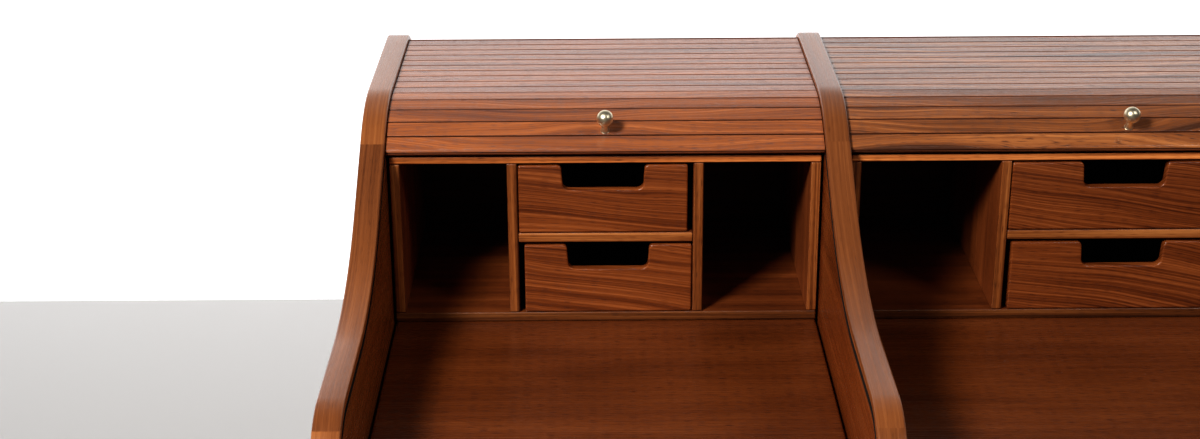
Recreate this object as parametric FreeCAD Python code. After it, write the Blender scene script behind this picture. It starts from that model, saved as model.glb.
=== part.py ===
import FreeCAD, Part
import math
import os
from FreeCAD import Vector, Placement, Rotation

# A two-bay tambour desk.  Millimetres, +Z up, +X to the right of the person who
# sits at it, -Y towards that person.  The origin is on the floor, under the
# middle of the desk's outer box.

# ---------------------------------------------------------------- driving sizes
BAY_WIDTHS = {"left": 500.0, "right": 640.0}    # clear width between side panels
PANEL = 28.0                                    # side panel thickness
SURFACE_HEIGHT = 755.0                          # top of the writing surface

# Side panel edge, from the front bottom to the rear.
FRONT_RADIUS = 88.4          # round nose of the arm
ARM_FLAT = 121.0             # level arm behind the nose
ARM_HEIGHT = 113.1           # arm above the writing surface
SWEEP_RADIUS = 398.5         # hollow curve that climbs from the arm
SLOPE_ANGLE = 32.4           # straight slope, degrees from level
SLOPE_LENGTH = 107.0
EDGE_EASE = 2.0              # bevel along the panel's edges

# Curtain.  The shoulder, the top and the rear corner each hold whole slats.
PITCH = 22.0
SLATS_ON_SHOULDER = 4
SLATS_ON_TOP = 10
SLATS_ON_CORNER = 3
SLATS_STORED = 24            # hang in the pocket behind the liner
LEAD_RAIL = 22.8             # width of the lead rail along the curtain
LEAD_START = -0.5            # how far below the shoulder's lower end the rail begins
SLAT_GAP = 0.8
SLAT_THICKNESS = 9.0
SLAT_EDGE = 0.9              # chamfer along a slat's upper edges
SLAT_UNDERCUT = 1.4          # how much narrower a slat is below, at each side
SLAT_SIDE_GAP = 1.0
TONGUE = (6.0, 12.0, 4.8)    # reach into the groove, length along it, thickness
GROOVE_CENTRE = 10.5         # groove centre below the panel's edge
GROOVE_WIDTH = 7.8
GROOVE_DEPTH = 8.0

# Pigeonhole insert and its drawers.
INSERT_GAP = 3.0
INSERT_HEIGHT = 206.5
INSERT_DEPTH = 300.0
INSERT_BACK = 6.0
BOARD = 12.0
TOP_BOARD = 9.0
CUBBY_WIDTHS = {"left": 122.0, "right": 160.0}
SHELF_UNDERSIDE = 100.4
FRONT_BOARD = 12.0
DRAWER_WALL = 8.0
DRAWER_BOTTOM = 5.0
DRAWER_DROP = 8.0            # the drawer's walls stand lower than its front
DRAWER_DEPTH = 286.0
DRAWER_SIDE_GAP = 3.75
DRAWER_OFFSET = 2.75         # the upper drawer sits left, the lower one right
DRAWER_LIFT = 0.4
UPPER_HEAD_GAP = 2.5
LOWER_HEAD_GAP = 3.6
CUTOUT = (96.0, 92.0, 30.0)  # finger cut-out: width at the top, below, depth
CUTOUT_ROUND = 8.0           # radius of its lower corners
CUTOUT_MOUTH = 5.5           # radius of its upper corners
FRONT_EASE = 1.2

# Knob.
BALL = 19.0
BALL_HEIGHT = 20.5           # centre of the ball above the slat
NECK = 8.4
KNOB_FOOT = 10.4
KNOB_RIM = 1.2
BALL_STEPS = 11
KNOB_SIDES = 40

# Carcass below and behind.
SURFACE = 19.0
SURFACE_SIDE_GAP = 3.0
SURFACE_FRONT = 14.0         # set back from the front of the panels
APRON = (20.0, 71.0, 30.0)   # thickness, height, set-back
CLEAT = 20.0
LINER = 6.0
LINER_TOP_GAP = 9.0
BACK = 3.2
POCKET_DEPTH = 47.5          # from the liner's front to the rear of the panels
POCKET_FLOOR = 12.0
POCKET_BOTTOM = 403.0
UNDERSIDE = 655.0            # lower edge of the panel between its legs
FOOT_WIDTHS = (45.0, 50.0)   # front leg, rear leg at the floor
LEG_TOP = 95.0
ARCH_RADIUS = 70.0
GLIDE = (22.0, 5.0)          # diameter, height

# ---------------------------------------------------------------- derived sizes
SLOPE = math.radians(SLOPE_ANGLE)
SHOULDER_RADIUS = SLATS_ON_SHOULDER * PITCH / SLOPE + GROOVE_CENTRE
CORNER_RADIUS = SLATS_ON_CORNER * PITCH / (math.pi / 2) + GROOVE_CENTRE
TOP_FLAT = SLATS_ON_TOP * PITCH
NOSE_HEIGHT = ARM_HEIGHT - FRONT_RADIUS
DEPTH = (FRONT_RADIUS + ARM_FLAT + (SWEEP_RADIUS + SHOULDER_RADIUS) * math.sin(SLOPE)
         + SLOPE_LENGTH * math.cos(SLOPE) + TOP_FLAT + CORNER_RADIUS)
FRONT_Y = -DEPTH / 2
REAR_Y = DEPTH / 2
CORNER_Y = REAR_Y - CORNER_RADIUS
TOP_HEIGHT = (ARM_HEIGHT + SLOPE_LENGTH * math.sin(SLOPE)
              + (SWEEP_RADIUS + SHOULDER_RADIUS) * (1 - math.cos(SLOPE)))
TOP_Z = SURFACE_HEIGHT + TOP_HEIGHT
INSERT_Y = FRONT_Y + 506.4
LINER_Y = REAR_Y - POCKET_DEPTH
GROOVE_LOW_END = POCKET_BOTTOM + POCKET_FLOOR + 2.0
GROOVE_FRONT_END = SURFACE_HEIGHT + 14.0
WIDTH = sum(BAY_WIDTHS.values()) + 3 * PANEL
BAY_LEFT_X = {"left": -WIDTH / 2 + PANEL,
              "right": -WIDTH / 2 + 2 * PANEL + BAY_WIDTHS["left"]}
BAY_CENTRE_X = {bay: BAY_LEFT_X[bay] + BAY_WIDTHS[bay] / 2 for bay in BAY_WIDTHS}
PANEL_X = {"left_side_panel": -WIDTH / 2,
           "middle_side_panel": BAY_LEFT_X["right"] - PANEL,
           "right_side_panel": WIDTH / 2 - PANEL}


# ------------------------------------------------------------------- small tools
def box(x, y, z):
    """A box from three (low, high) pairs."""
    size = [high - low for low, high in (x, y, z)]
    return Part.makeBox(*size, Vector(x[0], y[0], z[0]))


def front_edges(solid, y):
    """The straight edges of a solid that lie in the plane at this y."""
    edges = []
    for edge in solid.Edges:
        if all(abs(vertex.Y - y) < 1e-6 for vertex in edge.Vertexes):
            edges.append(edge)
    return edges


def eased_board(x, y, z, ease=0.8):
    """A board whose front edges are lightly chamfered."""
    board = box(x, y, z)
    return board.makeChamfer(ease, front_edges(board, y[0]))


def export(name, *solids):
    """One STEP file: a single solid, or several separate ones."""
    shape = solids[0] if len(solids) == 1 else Part.makeCompound(list(solids))
    shape.exportStep("parts/%s.step" % name)
    print(name, "solids", len(shape.Solids), "valid", shape.isValid())


# ------------------------------------------------------------ the curtain's track
def track(inset):
    """The panel's edge moved inwards, as runs from the arm's nose to the rear.

    Each run is (start, heading, length, signed radius): heading in radians from
    +Y towards +Z, radius positive where the track turns up, 0 on a straight.
    """
    quarter = math.pi / 2
    turns = [(FRONT_RADIUS, -quarter), (None, ARM_FLAT), (SWEEP_RADIUS, SLOPE),
             (None, SLOPE_LENGTH), (SHOULDER_RADIUS, -SLOPE), (None, TOP_FLAT),
             (CORNER_RADIUS, -quarter)]
    point = Vector(0, FRONT_Y + inset, SURFACE_HEIGHT + NOSE_HEIGHT)
    heading = quarter
    runs = []
    for radius, turn in turns:
        if radius is None:
            runs.append((point, heading, turn, 0.0))
            point = point + turn * direction(heading)
            continue
        signed = math.copysign(radius, turn) + inset
        runs.append((point, heading, abs(turn * signed), signed))
        centre = point + signed * direction(heading + quarter)
        heading += turn
        point = centre - signed * direction(heading + quarter)
    return runs


def direction(heading):
    return Vector(0, math.cos(heading), math.sin(heading))


def on_run(run, distance):
    """Point and heading at a distance along one run."""
    start, heading, _, radius = run
    if radius == 0:
        return start + distance * direction(heading), heading
    centre = start + radius * direction(heading + math.pi / 2)
    turned = heading + distance / radius
    return centre - radius * direction(turned + math.pi / 2), turned


def run_edge(run):
    """The run as a FreeCAD edge."""
    first, middle, last = (on_run(run, run[2] * part)[0] for part in (0, 0.5, 1))
    if run[3] == 0:
        return Part.makeLine(first, last)
    return Part.Arc(first, middle, last).toShape()


def on_curtain(distance):
    """Point on the groove's centre line, measured from the shoulder's lower end.

    Distances grow towards the rear; below zero they run down the slope.
    """
    runs = track(GROOVE_CENTRE)
    slope, rest = runs[3], runs[4:]
    if distance < 0:
        return on_run(slope, slope[2] + distance)[0]
    for run in rest:
        if distance <= run[2]:
            return on_run(run, distance)[0]
        distance -= run[2]
    end = on_run(rest[-1], rest[-1][2])[0]
    return end - Vector(0, 0, distance)


def slat_pose(distance):
    """Middle and heading of a slat whose tongues' two ends lie on the track."""
    low = on_curtain(distance - TONGUE[1] / 2)
    high = on_curtain(distance + TONGUE[1] / 2)
    chord = high - low
    return (low + high) / 2, math.atan2(chord.z, chord.y)


def slat_distance(number):
    """Middle of a slat along the curtain; slat 1 is the one above the lead rail."""
    return (number - 0.5) * PITCH - LEAD_START


LEAD_DISTANCE = -LEAD_START - LEAD_RAIL / 2


# ------------------------------------------------------------------- side panels
def leg_outline():
    """The panel's lower edge: rear leg, arch and front leg, rear to front."""
    foot = GLIDE[1]
    front_foot = Vector(0, FRONT_Y + FOOT_WIDTHS[0], foot)
    rear_foot = Vector(0, REAR_Y - FOOT_WIDTHS[1], foot)
    front_top = Vector(0, FRONT_Y + LEG_TOP, UNDERSIDE)
    rear_top = Vector(0, REAR_Y - LEG_TOP, UNDERSIDE)
    return [Vector(0, REAR_Y, foot), rear_foot, rear_top, front_top, front_foot,
            Vector(0, FRONT_Y, foot)]


def panel_blank():
    """The S-shaped panel on its legs, standing in the plane x = 0, facing +X."""
    runs = track(0.0)
    edges = [run_edge(run) for run in runs]
    nose = runs[0][0]
    heel = on_run(runs[-1], runs[-1][2])[0]
    outline = [heel] + leg_outline() + [nose]
    edges += [Part.makeLine(a, b) for a, b in zip(outline, outline[1:])]
    blank = Part.Face(Part.Wire(edges)).extrude(Vector(PANEL, 0, 0))
    arch = []
    for edge in blank.Edges:
        middle = edge.CenterOfMass
        along_x = abs(edge.Vertexes[0].X - edge.Vertexes[-1].X) > PANEL / 2
        if along_x and abs(middle.z - UNDERSIDE) < 1e-3:
            arch.append(edge)
    return blank.makeFillet(ARCH_RADIUS, arch)


def ease_panel(blank):
    """Bevel the panel's whole outline on both faces."""
    edges = []
    for edge in blank.Edges:
        xs = {round(vertex.X, 3) for vertex in edge.Vertexes}
        if len(xs) == 1 and edge.CenterOfMass.z > GLIDE[1] + 1.0:
            edges.append(edge)
    return blank.makeChamfer(EDGE_EASE, edges)


def groove_cutter():
    """The band that the slats' tongues run in, as a solid GROOVE_DEPTH thick."""
    upper = GROOVE_CENTRE - GROOVE_WIDTH / 2
    lower = GROOVE_CENTRE + GROOVE_WIDTH / 2
    sides = []
    for inset in (upper, lower):
        runs = track(inset)
        start = runs[0][0]
        front = Vector(0, start.y, GROOVE_FRONT_END)
        end = on_run(runs[-1], runs[-1][2])[0]
        rear = Vector(0, end.y, GROOVE_LOW_END)
        sides.append([Part.makeLine(front, start)] + [run_edge(run) for run in runs]
                     + [Part.makeLine(end, rear)])
    caps = [Part.makeLine(sides[0][i].Vertexes[j].Point, sides[1][i].Vertexes[j].Point)
            for i, j in ((0, 0), (-1, -1))]
    band = Part.Face(Part.Wire(Part.__sortEdges__(sides[0] + sides[1] + caps)))
    return band.extrude(Vector(GROOVE_DEPTH, 0, 0))


def side_panels():
    blank = ease_panel(panel_blank())
    cutter = groove_cutter()
    for name, x in PANEL_X.items():
        panel = blank.translated(Vector(x, 0, 0))
        if name != "left_side_panel":
            panel = panel.cut(cutter.translated(Vector(x, 0, 0)))
        if name != "right_side_panel":
            panel = panel.cut(cutter.translated(Vector(x + PANEL - GROOVE_DEPTH, 0, 0)))
        export(name, panel)


# ----------------------------------------------------------------------- curtain
def slat_blank(width, length, nose=0.0):
    """A slat lying flat: X along it, Y up the curtain, Z outwards, middle at 0.

    The lower corners lean in so that neighbours can fold round the corners; a
    nose above zero rounds the whole leading edge, as on the lead rail.
    """
    half = (length - SLAT_GAP) / 2
    top = SLAT_THICKNESS / 2
    foot = half - SLAT_UNDERCUT
    rear = [Vector(0, foot, -top), Vector(0, half, top - SLAT_EDGE),
            Vector(0, half - SLAT_EDGE, top)]
    if nose:
        front = [Vector(0, nose - half, -top)]
        curve = Part.Arc(Vector(0, nose - half, top), Vector(0, -half, 0.0), front[0])
        outline = [Part.makeLine(a, b) for a, b in zip(front + rear, rear)]
        outline += [Part.makeLine(rear[-1], Vector(0, nose - half, top)), curve.toShape()]
    else:
        front = [Vector(0, SLAT_EDGE - half, top), Vector(0, -half, top - SLAT_EDGE),
                 Vector(0, -foot, -top)]
        corners = rear + front
        outline = [Part.makeLine(a, b) for a, b in zip(corners, corners[1:] + corners[:1])]
    body = Part.Face(Part.Wire(Part.__sortEdges__(outline))).extrude(Vector(width, 0, 0))
    reach, along, thick = TONGUE
    tongue = box((-reach - SLAT_SIDE_GAP, width + reach + SLAT_SIDE_GAP),
                 (-along / 2, along / 2), (-thick / 2, thick / 2))
    return body.fuse(tongue).removeSplitter().translated(Vector(-width / 2, 0, 0))


def seat_slat(blank, bay, distance):
    """Move a flat slat, or what stands on one, to its place on a bay's track."""
    middle, heading = slat_pose(distance)
    turn = Rotation(Vector(1, 0, 0), math.degrees(heading))
    middle.x = BAY_CENTRE_X[bay]
    slat = blank.copy()
    slat.Placement = Placement(middle, turn).multiply(blank.Placement)
    return slat


def curtain_groups():
    """Name of each group of slats that moves as one, with its slat numbers."""
    shoulder = SLATS_ON_SHOULDER
    top = shoulder + SLATS_ON_TOP
    corner = top + SLATS_ON_CORNER
    return {
        "pull_slat": [1],
        "shoulder_slats": list(range(2, shoulder + 1)),
        "crest_slat": [shoulder + 1],
        "top_slats": list(range(shoulder + 2, top + 1)),
        "corner_slat_upper": [top + 1],
        "corner_slats": list(range(top + 2, corner + 1)),
        "corner_slat_lower": [corner + 1],
        "stored_slats": list(range(corner + 2, corner + SLATS_STORED + 1)),
    }


def knob_blank():
    """Turned brass knob on the Z axis, foot at z = 0: foot, flared neck and ball.

    Its round is made of KNOB_SIDES flats, and of BALL_STEPS rings on the ball.
    """
    ball, neck, foot = BALL / 2, NECK / 2, KNOB_FOOT / 2
    flare = foot - neck
    profile = [(foot, 0), (foot, KNOB_RIM),
               (neck + 0.4 * flare, KNOB_RIM + 0.6 * flare),
               (neck, KNOB_RIM + 2.0 * flare)]
    start = math.asin(neck / ball)
    for step in range(BALL_STEPS):
        angle = start + (math.pi - start) * step / BALL_STEPS
        profile.append((ball * math.sin(angle), BALL_HEIGHT - ball * math.cos(angle)))
    turns = [2 * math.pi * side / KNOB_SIDES for side in range(KNOB_SIDES + 1)]
    rings = [[Vector(radius * math.cos(turn), radius * math.sin(turn), height)
              for turn in turns] for radius, height in profile]
    crown = Vector(0, 0, BALL_HEIGHT + ball)
    flats = [rings[0]]
    for low, high in zip(rings, rings[1:]):
        for side in range(KNOB_SIDES):
            flats.append([low[side], low[side + 1], high[side + 1], high[side], low[side]])
    for side in range(KNOB_SIDES):
        flats.append([rings[-1][side], rings[-1][side + 1], crown, rings[-1][side]])
    shell = Part.Shell([Part.Face(Part.makePolygon(flat)) for flat in flats])
    return Part.Solid(shell)


def curtains():
    for bay, clear in BAY_WIDTHS.items():
        width = clear - 2 * SLAT_SIDE_GAP
        slat = slat_blank(width, PITCH)
        rail = slat_blank(width, LEAD_RAIL, nose=SLAT_THICKNESS / 2)
        export(bay + "_lead_rail", seat_slat(rail, bay, LEAD_DISTANCE))
        for name, numbers in curtain_groups().items():
            slats = [seat_slat(slat, bay, slat_distance(n)) for n in numbers]
            export("%s_%s" % (bay, name), *slats)
        knob = knob_blank().translated(Vector(0, -PITCH / 5, SLAT_THICKNESS / 2))
        export(bay + "_knob", seat_slat(knob, bay, slat_distance(1)))


# ------------------------------------------------------- pigeonhole and drawers
def insert_layout(bay):
    """X limits of the insert, its cubbies and its drawer bay."""
    left = BAY_LEFT_X[bay] + INSERT_GAP
    right = left + BAY_WIDTHS[bay] - 2 * INSERT_GAP
    cubby = CUBBY_WIDTHS[bay]
    return {"outer": (left, right),
            "left_cubby": (left + BOARD, left + BOARD + cubby),
            "right_cubby": (right - BOARD - cubby, right - BOARD),
            "drawers": (left + 2 * BOARD + cubby, right - 2 * BOARD - cubby)}


def insert_levels():
    """Z limits of the lower and the upper drawer's bay."""
    floor = SURFACE_HEIGHT + BOARD
    shelf = SURFACE_HEIGHT + SHELF_UNDERSIDE
    return {"lower": (floor, shelf),
            "upper": (shelf + BOARD, SURFACE_HEIGHT + INSERT_HEIGHT - TOP_BOARD)}


def insert_boards():
    front, rear = INSERT_Y, INSERT_Y + INSERT_DEPTH
    y = (front, rear - INSERT_BACK)
    bottom, top = SURFACE_HEIGHT, SURFACE_HEIGHT + INSERT_HEIGHT
    levels = insert_levels()
    inner_z = (levels["lower"][0], levels["upper"][1])
    for bay in BAY_WIDTHS:
        lay = insert_layout(bay)
        outer, drawers = lay["outer"], lay["drawers"]
        boards = {
            "insert_top": (outer, (inner_z[1], top)),
            "insert_bottom": (outer, (bottom, inner_z[0])),
            "insert_left_wall": ((outer[0], outer[0] + BOARD), inner_z),
            "insert_right_wall": ((outer[1] - BOARD, outer[1]), inner_z),
            "insert_left_divider": ((drawers[0] - BOARD, drawers[0]), inner_z),
            "insert_right_divider": ((drawers[1], drawers[1] + BOARD), inner_z),
            "insert_shelf": (drawers, (levels["lower"][1], levels["upper"][0])),
        }
        for name, (x, z) in boards.items():
            export("%s_%s" % (bay, name), eased_board(x, y, z))
        export(bay + "_insert_back", box(outer, (y[1], rear), (bottom, top)))


def drawer_box_limits(bay, level):
    """X, Y and Z limits of one drawer, front included."""
    bay_x = insert_layout(bay)["drawers"]
    low, high = insert_levels()[level]
    shift = DRAWER_OFFSET if level == "lower" else -DRAWER_OFFSET
    head = LOWER_HEAD_GAP if level == "lower" else UPPER_HEAD_GAP
    x = (bay_x[0] + DRAWER_SIDE_GAP + shift, bay_x[1] - DRAWER_SIDE_GAP + shift)
    return x, (INSERT_Y, INSERT_Y + DRAWER_DEPTH), (low + DRAWER_LIFT, high - head)


def cutout_profile(middle, top, y):
    """The U-shaped finger cut-out, with round corners below and at its mouth."""
    mouth, floor, depth = CUTOUT
    over = 5.0
    corners = [Vector(middle - mouth / 2, y, top + over),
               Vector(middle - mouth / 2, y, top),
               Vector(middle - floor / 2, y, top - depth),
               Vector(middle + floor / 2, y, top - depth),
               Vector(middle + mouth / 2, y, top),
               Vector(middle + mouth / 2, y, top + over)]
    return Part.Face(Part.makePolygon(corners + corners[:1]))


def drawer_front(x, y, z):
    """The front board: cut-out, rounded corners, eased outer edges."""
    middle = (x[0] + x[1]) / 2
    board = box(x, (y[0], y[0] + FRONT_BOARD), z)
    cutter = cutout_profile(middle, z[1], y[0] - 1.0).extrude(
        Vector(0, FRONT_BOARD + 2.0, 0))
    front = board.cut(cutter)
    low, mouth = [], []
    for edge in front.Edges:
        centre = edge.CenterOfMass
        runs_back = abs(edge.Vertexes[0].Y - edge.Vertexes[-1].Y) > FRONT_BOARD / 2
        if runs_back and abs(centre.x - middle) < CUTOUT[0] / 2 + 0.01:
            (low if centre.z < z[1] - CUTOUT[2] / 2 else mouth).append(edge)
    front = front.makeFillet(CUTOUT_ROUND, low)
    mouth = [edge for edge in front.Edges if abs(edge.CenterOfMass.z - z[1]) < 0.01
             and abs(abs(edge.CenterOfMass.x - middle) - CUTOUT[0] / 2) < 0.01]
    front = front.makeFillet(CUTOUT_MOUTH, mouth)
    return front.makeChamfer(FRONT_EASE, front_edges(front, y[0]))


def drawer_tray(x, y, z):
    """Sides, back and bottom, glued into one open box behind the front."""
    top = z[1] - DRAWER_DROP
    start = y[0] + FRONT_BOARD
    outer = box(x, (start, y[1]), (z[0], top))
    inner = box((x[0] + DRAWER_WALL, x[1] - DRAWER_WALL),
                (start - 1.0, y[1] - DRAWER_WALL), (z[0] + DRAWER_BOTTOM, top + 1.0))
    return outer.cut(inner)


def drawers():
    for bay in BAY_WIDTHS:
        for level in ("upper", "lower"):
            x, y, z = drawer_box_limits(bay, level)
            name = "%s_%s_drawer" % (bay, level)
            export(name + "_front", drawer_front(x, y, z))
            export(name + "_box", drawer_tray(x, y, z))


# ----------------------------------------------------------------------- carcass
def carcass():
    surface_z = (SURFACE_HEIGHT - SURFACE, SURFACE_HEIGHT)
    pocket_z = POCKET_BOTTOM + POCKET_FLOOR
    liner_top = TOP_Z - GROOVE_CENTRE - SLAT_THICKNESS / 2 - LINER_TOP_GAP
    back_y = (REAR_Y - BACK - 0.5, REAR_Y - 0.5)
    for bay, clear in BAY_WIDTHS.items():
        left = BAY_LEFT_X[bay]
        full = (left, left + clear)
        loose = (left + SURFACE_SIDE_GAP, left + clear - SURFACE_SIDE_GAP)
        top = box(loose, (FRONT_Y + SURFACE_FRONT, LINER_Y), surface_z)
        top = top.makeFillet(5.0, [edge for edge in front_edges(top, FRONT_Y + SURFACE_FRONT)
                                   if edge.Length > clear / 2])
        export(bay + "_writing_surface", top)
        thick, high, back = APRON
        apron_y = (FRONT_Y + back, FRONT_Y + back + thick)
        export(bay + "_apron", eased_board(full, apron_y, (surface_z[0] - high, surface_z[0]),
                                           ease=1.5))
        cleat_y = (apron_y[1], LINER_Y)
        cleat_z = (surface_z[0] - CLEAT, surface_z[0])
        export(bay + "_cleats", box((full[0], full[0] + CLEAT), cleat_y, cleat_z),
               box((full[1] - CLEAT, full[1]), cleat_y, cleat_z))
        export(bay + "_pocket_liner", box(full, (LINER_Y, LINER_Y + LINER),
                                          (pocket_z, liner_top)))
        export(bay + "_pocket_floor", box(full, (LINER_Y, back_y[0]),
                                          (POCKET_BOTTOM, pocket_z)))
        export(bay + "_back", box(full, back_y, (POCKET_BOTTOM, TOP_Z - CORNER_RADIUS - 4.0)))


def glides():
    discs = []
    for x in PANEL_X.values():
        for y in (FRONT_Y + FOOT_WIDTHS[0] / 2, REAR_Y - FOOT_WIDTHS[1] / 2):
            centre = Vector(x + PANEL / 2, y, 0)
            discs.append(Part.makeCylinder(GLIDE[0] / 2, GLIDE[1], centre))
    export("glides", *discs)


def main():
    os.makedirs("parts", exist_ok=True)
    side_panels()
    curtains()
    insert_boards()
    drawers()
    carcass()
    glides()
    print("width %.1f depth %.1f height %.1f" % (WIDTH, DEPTH, TOP_Z))


main()
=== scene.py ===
import math
from functools import cache

import bpy
import numpy as np
from bpy.props import FloatProperty, FloatVectorProperty, IntProperty, PointerProperty
from bpy.types import NodeSocket, Operator, Panel, PropertyGroup
from mathutils import Matrix, Vector


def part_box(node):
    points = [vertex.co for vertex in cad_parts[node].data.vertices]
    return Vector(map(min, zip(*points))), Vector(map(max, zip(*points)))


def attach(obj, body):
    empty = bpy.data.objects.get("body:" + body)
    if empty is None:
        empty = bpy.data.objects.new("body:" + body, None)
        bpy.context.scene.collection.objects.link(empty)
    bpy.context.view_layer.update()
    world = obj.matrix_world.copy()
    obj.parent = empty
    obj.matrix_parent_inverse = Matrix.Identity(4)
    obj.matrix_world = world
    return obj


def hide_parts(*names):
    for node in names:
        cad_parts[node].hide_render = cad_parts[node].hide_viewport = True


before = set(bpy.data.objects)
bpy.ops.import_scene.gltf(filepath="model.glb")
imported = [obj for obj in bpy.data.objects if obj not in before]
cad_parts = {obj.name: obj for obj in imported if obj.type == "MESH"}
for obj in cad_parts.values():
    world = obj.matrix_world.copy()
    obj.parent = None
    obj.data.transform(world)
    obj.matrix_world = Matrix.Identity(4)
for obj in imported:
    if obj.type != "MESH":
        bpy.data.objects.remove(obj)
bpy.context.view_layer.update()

bl_info = {
    "name": "Tambour desk",
    "version": (1, 0, 0),
    "blender": (4, 5, 0),
    "location": "View3D > Sidebar > Desk",
    "description": "Dresses a two-bay tambour desk: panels, slats, inserts, drawers and stage",
    "category": "Object",
}


def corners(node):
    """Lowest and highest corner of a node as two numpy arrays, in metres."""
    return [np.array(corner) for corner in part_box(node)]


BAYS = ("left", "right")
PANEL_LOW, PANEL_HIGH = corners("left_side_panel")
SURFACE_TOP = corners("left_writing_surface")[1][2]
QUARTER = math.pi / 2
SEEDS = {"curtains": 22, "inserts": 7, "drawers": 11, "surfaces": 3, "carcass": 5}
GRAIN_SPAN = 9.0  # pieces start at random places within this much grain
FRONT_LEAN = (0.05, 0.2)  # how far the grain leans on the drawers' fronts
STAVE, STAVE_START = 0.1235, 0.8558  # width of the panels' boards, height of one glued seam
PANEL_GRAIN = np.array([3.1, 0.83])  # from one panel's stretch of grain to the next one's
BOARD_GRAIN = (1.37, 0.41)  # and from one glued board's to the next one's
EDGE_GRAIN = 1.7  # from a plate's faces' grain to its edge's

SHRINK = 0.00005  # pieces stay this much inside the solids they replace
SHARP = math.radians(38)  # edges that turn by more than this stay sharp
ROUNDING = np.linspace(0, QUARTER, 4)  # angles of the points on a rounded edge
PLATE_FLAT, SLAT_FLAT = 0.0005, 0.0006  # from a rounding to the flat's first line
ARCH_TOP, ARCH_ROUND = 0.655, 0.070  # the opening between a panel's legs
LEG, FRONT_FOOT, REAR_FOOT = 0.095, 0.045, 0.050  # a leg's width, above and at the floor
GROOVE_FRONT, GROOVE_REAR = SURFACE_TOP + 0.014, 0.417  # heights of the groove's ends
GROOVE_END = 0.0002  # the groove's floor rises within this distance
ARC_STEP, LINE_STEP = 0.006, 0.03  # between the points of the panel's curved edge
SLAT_PAST = 0.002  # a slat's body goes this far past the writing surface
UNDERCUT = 0.0014  # a slat's lower face is narrower by this at each side
NOSE_TURNS = np.array([180, 155, 130, 115, 100, 86, 84, 58, 56, 42, 28, 14, 0])
CHANNEL, CHANNEL_DEPTH = (57, 85), 0.0011  # degrees round the lead rail's nose; the channel's faces take painted shade
TONGUE_OUT = 0.0058  # from the slat's end to its tongue's end
TONGUE_HALF, TONGUE_THICK = 0.006, 0.0024  # half of a tongue's width and thickness
SHOWN_DROP = 0.3  # share of the rounding that keeps the slat's own colour; the rest takes painted shade
KNOB_DROP = 0.2  # from the slat's middle down to the knob, in pitches
# Rim of a knob's foot, as (out from its radius, up), and the neck's start and height
FOOT_RIM = ((-0.0002, 0.0), (0.0, 0.0003), (0.0, 0.0009), (-0.0003, 0.0012))
NECK_START, NECK_RISE = 0.0014, 0.0052
KNOB_TURNS, BALL_POINTS, NECK_POINTS = 56, 22, 8
FRONT_LOW, FRONT_HIGH = 0.0024, 0.0026  # radii of a drawer front's outer corners
BACK_ROUND, BOX_ROUND, APRON_ROUND, SURFACE_ROUND = 0.0005, 0.0007, 0.0015, 0.003
FORWARD = (-0.3, -0.8)  # Y of the normals of the faces beside a front and on it
INSERT_BOARDS = (
    (("top",), 0, "board", "lipping_top_painted_light"), (("shelf",), 0, "board", "lipping"),
    (("bottom",), 0, "board", "lipping_low_painted_shade"),
    (("left_wall", "right_wall", "left_divider", "right_divider"), 2, "upright", "lipping"))

FLOOR_HALF, WALL_HALF, WALL_RISE = 14.0, 7.0, 2.5  # half sizes of floor and backdrop
FADE = (1.55, 2.1)  # heights between which the backdrop's light fades
LIT = np.array([-0.33, 0.05, 0.85])  # the point that the lights face
KEY_FROM, KEY_SIZE = np.array([-0.466, -0.600, 0.651]), 0.55
FILL_FROM, FILL_SIZE = np.array([0.626, -0.442, 0.643]), 0.6
LIGHT_AWAY = 2.6


# Settings
def scalar(name, text, value, **more):
    return FloatProperty(name=name, description=text, default=value, **more)


def metres(name, text, value):
    return scalar(name, text, value, unit="LENGTH", precision=5)


def degrees(name, text, value):
    return scalar(name, text, math.radians(value), subtype="ANGLE")


def share(name, text, value):
    return scalar(name, text, value, min=0.0, max=4.0, subtype="FACTOR")


def whole(name, text, value):
    return IntProperty(name=name, description=text, default=value, min=1)


def colour(name, text, value):
    return FloatVectorProperty(name=name, description=text, default=value, size=3,
                               subtype="COLOR", min=0.0, max=1.0)


class DeskTrack(PropertyGroup):
    """The side panel's curved edge and the curtain that follows it."""
    nose: metres("Nose radius", "Round front of the arm", 0.0884)
    arm: metres("Arm", "Level stretch behind the nose", 0.121)
    sweep: metres("Sweep radius", "Hollow curve above the arm", 0.3985)
    slope: metres("Slope", "Straight stretch above the sweep", 0.107)
    angle: degrees("Slope angle", "Slope from level", 32.4)
    pitch: metres("Slat pitch", "From one slat to the next", 0.022)
    on_shoulder: whole("Shoulder slats", "Slats on the shoulder", 4)
    on_top: whole("Top slats", "Slats on the level top", 10)
    on_corner: whole("Corner slats", "Slats round the rear corner", 3)
    stored: whole("Stored slats", "Slats in the pocket", 24)
    groove: metres("Groove centre", "Groove below the panel's edge", 0.0105)
    groove_width: metres("Groove width", "Width of the groove", 0.0078)
    groove_depth: metres("Groove depth", "Depth of the groove", 0.008)
    slat: metres("Slat thickness", "Thickness of a slat", 0.009)
    gap: metres("Slat gap", "Between two slats", 0.0008)
    lead: metres("Lead rail", "Width of the lead rail", 0.0228)
    lead_start: metres("Lead start", "From the shoulder's end to the lead rail", -0.0005)


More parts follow.
